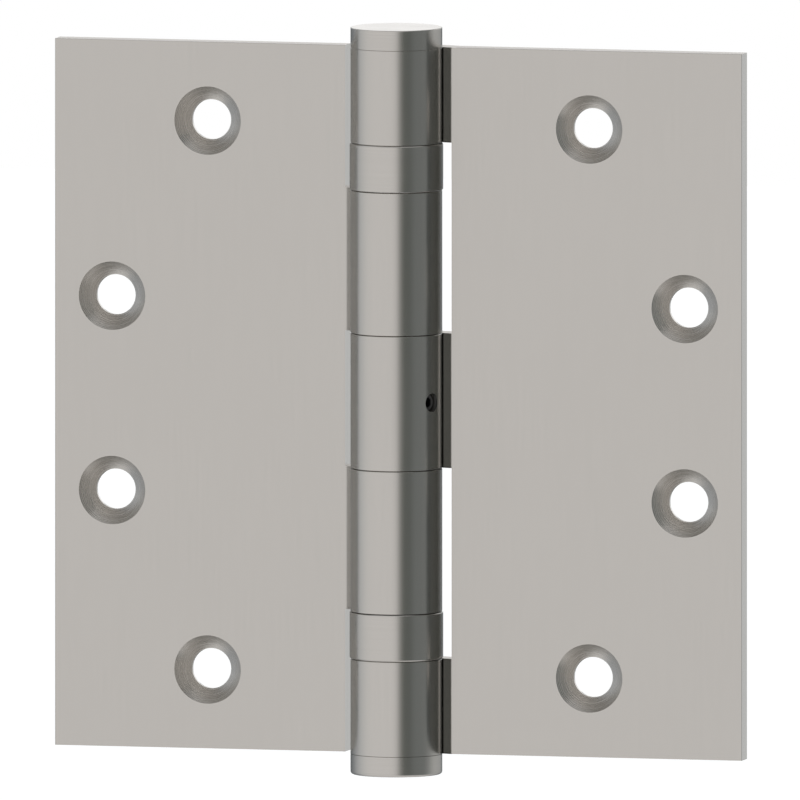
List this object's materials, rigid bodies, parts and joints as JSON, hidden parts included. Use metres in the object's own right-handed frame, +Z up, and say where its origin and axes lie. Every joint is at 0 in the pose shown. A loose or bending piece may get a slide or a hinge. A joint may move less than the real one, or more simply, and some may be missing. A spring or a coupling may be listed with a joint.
{
  "type": "ball bearing hinge",
  "caption": "Full mortise butt hinge with square corners, countersunk screw holes, rolled knuckles on a flat-headed pin and ball bearings between the end knuckles.",
  "frame": {"origin": "on the pin's axis at mid-height, which is the centre of the hinge's box", "axes": "+Z up the pin, +Y from the countersunk front to the back faces of the leaves, +X towards the frame leaf, with the hinge open flat"},
  "size_m": [0.1142, 0.015, 0.1208],
  "materials": {
    "leaf_steel": "satin plated",
    "pin_steel": "satin plated",
    "set_screw_steel": "black oxide",
    "cup_steel": "satin plated",
    "race_steel": "ground",
    "cage_brass": "stamped",
    "ball_steel": "polished"
  },
  "bodies": {
    "frame_side": {"frame_leaf": "leaf_steel", "hinge_pin": "pin_steel", "bottom_plug": "pin_steel", "set_screw": "set_screw_steel", "upper_bearing_cup": "cup_steel", "lower_bearing_cup": "cup_steel", "upper_fixed_race": "race_steel", "lower_fixed_race": "race_steel"},
    "door_side": {"door_leaf": "leaf_steel", "upper_moving_race": "race_steel", "lower_moving_race": "race_steel"},
    "upper_cage": {"upper_ball_cage": "cage_brass"},
    "upper_ball_01": {"upper_ball_01": "ball_steel"},
    "upper_ball_02": {"upper_ball_02": "ball_steel"},
    "upper_ball_03": {"upper_ball_03": "ball_steel"},
    "upper_ball_04": {"upper_ball_04": "ball_steel"},
    "upper_ball_05": {"upper_ball_05": "ball_steel"},
    "upper_ball_06": {"upper_ball_06": "ball_steel"},
    "upper_ball_07": {"upper_ball_07": "ball_steel"},
    "upper_ball_08": {"upper_ball_08": "ball_steel"},
    "upper_ball_09": {"upper_ball_09": "ball_steel"},
    "upper_ball_10": {"upper_ball_10": "ball_steel"},
    "upper_ball_11": {"upper_ball_11": "ball_steel"},
    "upper_ball_12": {"upper_ball_12": "ball_steel"},
    "lower_cage": {"lower_ball_cage": "cage_brass"},
    "lower_ball_01": {"lower_ball_01": "ball_steel"},
    "lower_ball_02": {"lower_ball_02": "ball_steel"},
    "lower_ball_03": {"lower_ball_03": "ball_steel"},
    "lower_ball_04": {"lower_ball_04": "ball_steel"},
    "lower_ball_05": {"lower_ball_05": "ball_steel"},
    "lower_ball_06": {"lower_ball_06": "ball_steel"},
    "lower_ball_07": {"lower_ball_07": "ball_steel"},
    "lower_ball_08": {"lower_ball_08": "ball_steel"},
    "lower_ball_09": {"lower_ball_09": "ball_steel"},
    "lower_ball_10": {"lower_ball_10": "ball_steel"},
    "lower_ball_11": {"lower_ball_11": "ball_steel"},
    "lower_ball_12": {"lower_ball_12": "ball_steel"}
  },
  "joints": [
    {"name": "leaf_swing", "type": "hinge", "parent": "frame_side", "child": "door_side", "pos_m": [0, 0, 0], "axis": [0, 0, 1], "range_deg": [-115, 180]},
    {"name": "upper_cage_orbit", "type": "hinge", "parent": "frame_side", "child": "upper_cage", "pos_m": [0, 0, 0.03752], "axis": [0, 0, 1], "range_deg": [-57.5, 90]},
    {"name": "upper_ball_01_roll", "type": "hinge", "parent": "upper_cage", "child": "upper_ball_01", "pos_m": [0.00545, 0, 0.03753], "axis": [1, 0, 0], "range_deg": [-316, 494.6]},
    {"name": "upper_ball_02_roll", "type": "hinge", "parent": "upper_cage", "child": "upper_ball_02", "pos_m": [0.00472, 0.00272, 0.03753], "axis": [0.866, 0.5, 0], "range_deg": [-316, 494.6]},
    {"name": "upper_ball_03_roll", "type": "hinge", "parent": "upper_cage", "child": "upper_ball_03", "pos_m": [0.00272, 0.00472, 0.03753], "axis": [0.5, 0.866, 0], "range_deg": [-316, 494.6]},
    {"name": "upper_ball_04_roll", "type": "hinge", "parent": "upper_cage", "child": "upper_ball_04", "pos_m": [0, 0.00545, 0.03753], "axis": [0, 1, 0], "range_deg": [-316, 494.6]},
    {"name": "upper_ball_05_roll", "type": "hinge", "parent": "upper_cage", "child": "upper_ball_05", "pos_m": [-0.00272, 0.00472, 0.03753], "axis": [-0.5, 0.866, 0], "range_deg": [-316, 494.6]},
    {"name": "upper_ball_06_roll", "type": "hinge", "parent": "upper_cage", "child": "upper_ball_06", "pos_m": [-0.00472, 0.00272, 0.03753], "axis": [-0.866, 0.5, 0], "range_deg": [-316, 494.6]},
    {"name": "upper_ball_07_roll", "type": "hinge", "parent": "upper_cage", "child": "upper_ball_07", "pos_m": [-0.00545, 0, 0.03753], "axis": [-1, 0, 0], "range_deg": [-316, 494.6]},
    {"name": "upper_ball_08_roll", "type": "hinge", "parent": "upper_cage", "child": "upper_ball_08", "pos_m": [-0.00472, -0.00272, 0.03753], "axis": [-0.866, -0.5, 0], "range_deg": [-316, 494.6]},
    {"name": "upper_ball_09_roll", "type": "hinge", "parent": "upper_cage", "child": "upper_ball_09", "pos_m": [-0.00272, -0.00472, 0.03753], "axis": [-0.5, -0.866, 0], "range_deg": [-316, 494.6]},
    {"name": "upper_ball_10_roll", "type": "hinge", "parent": "upper_cage", "child": "upper_ball_10", "pos_m": [0, -0.00545, 0.03753], "axis": [0, -1, 0], "range_deg": [-316, 494.6]},
    {"name": "upper_ball_11_roll", "type": "hinge", "parent": "upper_cage", "child": "upper_ball_11", "pos_m": [0.00272, -0.00472, 0.03753], "axis": [0.5, -0.866, 0], "range_deg": [-316, 494.6]},
    {"name": "upper_ball_12_roll", "type": "hinge", "parent": "upper_cage", "child": "upper_ball_12", "pos_m": [0.00472, -0.00272, 0.03753], "axis": [0.866, -0.5, 0], "range_deg": [-316, 494.6]},
    {"name": "lower_cage_orbit", "type": "hinge", "parent": "frame_side", "child": "lower_cage", "pos_m": [0, 0, -0.03752], "axis": [0, 0, 1], "range_deg": [-57.5, 90]},
    {"name": "lower_ball_01_roll", "type": "hinge", "parent": "lower_cage", "child": "lower_ball_01", "pos_m": [0.00545, 0, -0.03753], "axis": [1, 0, 0], "range_deg": [-494.6, 316]},
    {"name": "lower_ball_02_roll", "type": "hinge", "parent": "lower_cage", "child": "lower_ball_02", "pos_m": [0.00472, 0.00272, -0.03753], "axis": [0.866, 0.5, 0], "range_deg": [-494.6, 316]},
    {"name": "lower_ball_03_roll", "type": "hinge", "parent": "lower_cage", "child": "lower_ball_03", "pos_m": [0.00272, 0.00472, -0.03753], "axis": [0.5, 0.866, 0], "range_deg": [-494.6, 316]},
    {"name": "lower_ball_04_roll", "type": "hinge", "parent": "lower_cage", "child": "lower_ball_04", "pos_m": [0, 0.00545, -0.03753], "axis": [0, 1, 0], "range_deg": [-494.6, 316]},
    {"name": "lower_ball_05_roll", "type": "hinge", "parent": "lower_cage", "child": "lower_ball_05", "pos_m": [-0.00272, 0.00472, -0.03753], "axis": [-0.5, 0.866, 0], "range_deg": [-494.6, 316]},
    {"name": "lower_ball_06_roll", "type": "hinge", "parent": "lower_cage", "child": "lower_ball_06", "pos_m": [-0.00472, 0.00272, -0.03753], "axis": [-0.866, 0.5, 0], "range_deg": [-494.6, 316]},
    {"name": "lower_ball_07_roll", "type": "hinge", "parent": "lower_cage", "child": "lower_ball_07", "pos_m": [-0.00545, 0, -0.03753], "axis": [-1, 0, 0], "range_deg": [-494.6, 316]},
    {"name": "lower_ball_08_roll", "type": "hinge", "parent": "lower_cage", "child": "lower_ball_08", "pos_m": [-0.00472, -0.00272, -0.03753], "axis": [-0.866, -0.5, 0], "range_deg": [-494.6, 316]},
    {"name": "lower_ball_09_roll", "type": "hinge", "parent": "lower_cage", "child": "lower_ball_09", "pos_m": [-0.00272, -0.00472, -0.03753], "axis": [-0.5, -0.866, 0], "range_deg": [-494.6, 316]},
    {"name": "lower_ball_10_roll", "type": "hinge", "parent": "lower_cage", "child": "lower_ball_10", "pos_m": [0, -0.00545, -0.03753], "axis": [0, -1, 0], "range_deg": [-494.6, 316]},
    {"name": "lower_ball_11_roll", "type": "hinge", "parent": "lower_cage", "child": "lower_ball_11", "pos_m": [0.00272, -0.00472, -0.03753], "axis": [0.5, -0.866, 0], "range_deg": [-494.6, 316]},
    {"name": "lower_ball_12_roll", "type": "hinge", "parent": "lower_cage", "child": "lower_ball_12", "pos_m": [0.00472, -0.00272, -0.03753], "axis": [0.866, -0.5, 0], "range_deg": [-494.6, 316]}
  ],
  "couplings": [
    {"joint": "upper_cage_orbit", "follows": "leaf_swing", "ratio": 0.5},
    {"joint": "upper_ball_01_roll", "follows": "leaf_swing", "ratio": 2.747},
    {"joint": "upper_ball_02_roll", "follows": "leaf_swing", "ratio": 2.747},
    {"joint": "upper_ball_03_roll", "follows": "leaf_swing", "ratio": 2.747},
    {"joint": "upper_ball_04_roll", "follows": "leaf_swing", "ratio": 2.747},
    {"joint": "upper_ball_05_roll", "follows": "leaf_swing", "ratio": 2.747},
    {"joint": "upper_ball_06_roll", "follows": "leaf_swing", "ratio": 2.747},
    {"joint": "upper_ball_07_roll", "follows": "leaf_swing", "ratio": 2.747},
    {"joint": "upper_ball_08_roll", "follows": "leaf_swing", "ratio": 2.747},
    {"joint": "upper_ball_09_roll", "follows": "leaf_swing", "ratio": 2.747},
    {"joint": "upper_ball_10_roll", "follows": "leaf_swing", "ratio": 2.747},
    {"joint": "upper_ball_11_roll", "follows": "leaf_swing", "ratio": 2.747},
    {"joint": "upper_ball_12_roll", "follows": "leaf_swing", "ratio": 2.747},
    {"joint": "lower_cage_orbit", "follows": "leaf_swing", "ratio": 0.5},
    {"joint": "lower_ball_01_roll", "follows": "leaf_swing", "ratio": -2.747},
    {"joint": "lower_ball_02_roll", "follows": "leaf_swing", "ratio": -2.747},
    {"joint": "lower_ball_03_roll", "follows": "leaf_swing", "ratio": -2.747},
    {"joint": "lower_ball_04_roll", "follows": "leaf_swing", "ratio": -2.747},
    {"joint": "lower_ball_05_roll", "follows": "leaf_swing", "ratio": -2.747},
    {"joint": "lower_ball_06_roll", "follows": "leaf_swing", "ratio": -2.747},
    {"joint": "lower_ball_07_roll", "follows": "leaf_swing", "ratio": -2.747},
    {"joint": "lower_ball_08_roll", "follows": "leaf_swing", "ratio": -2.747},
    {"joint": "lower_ball_09_roll", "follows": "leaf_swing", "ratio": -2.747},
    {"joint": "lower_ball_10_roll", "follows": "leaf_swing", "ratio": -2.747},
    {"joint": "lower_ball_11_roll", "follows": "leaf_swing", "ratio": -2.747},
    {"joint": "lower_ball_12_roll", "follows": "leaf_swing", "ratio": -2.747}
  ]
}
